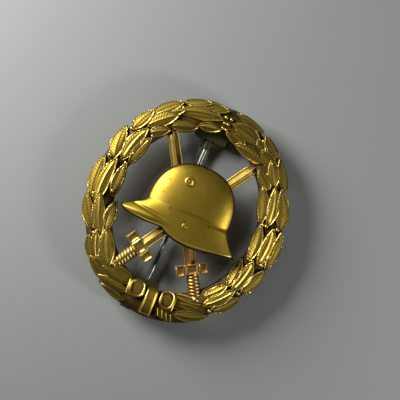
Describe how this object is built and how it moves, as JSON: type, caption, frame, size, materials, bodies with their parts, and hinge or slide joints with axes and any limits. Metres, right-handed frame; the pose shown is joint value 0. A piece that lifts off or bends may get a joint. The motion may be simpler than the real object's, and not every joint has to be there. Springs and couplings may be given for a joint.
{
  "type": "pin-back breast badge",
  "caption": "Oval pierced breast badge: hollow laurel wreath, crossed swords and steel helmet, with a hinged needle and hook catch on the back.",
  "frame": {"origin": "centre of the badge at the level of its lowest back fittings, on which it rests face up", "axes": "+Z is the front, +Y the top of the badge, +X its right side seen from the front"},
  "size_m": [0.0392, 0.0436, 0.0084],
  "materials": {
    "gilt_brass": "worn satin gilt with brown tarnish in the recesses",
    "copper_gilt": "worn satin gilt, more coppery",
    "old_brass": "dull toned brass",
    "steel": "dull drawn steel wire"
  },
  "bodies": {
    "badge": {"wreath": "gilt_brass", "sword_left": "gilt_brass", "sword_right": "copper_gilt", "helmet": "gilt_brass", "hinge_plate": "old_brass", "hinge_pin": "steel", "catch_plate": "old_brass", "catch_hook": "old_brass"},
    "needle_root": {"needle_knuckle": "old_brass"},
    "needle_wire": {"needle": "steel"}
  },
  "joints": [
    {"name": "needle_swing", "type": "hinge", "parent": "badge", "child": "needle_root", "pos_m": [-0.0011, 0.0154, 0.0013], "axis": [0.9998, -0.0192, 0], "range_deg": [0, 110]},
    {"name": "needle_flex", "type": "hinge", "parent": "needle_root", "child": "needle_wire", "pos_m": [-0.00114, 0.01345, 0.0013], "axis": [0, 0, 1], "range_deg": [-2.2, 0.6], "stiffness_Nm_per_rad": 0.9}
  ]
}
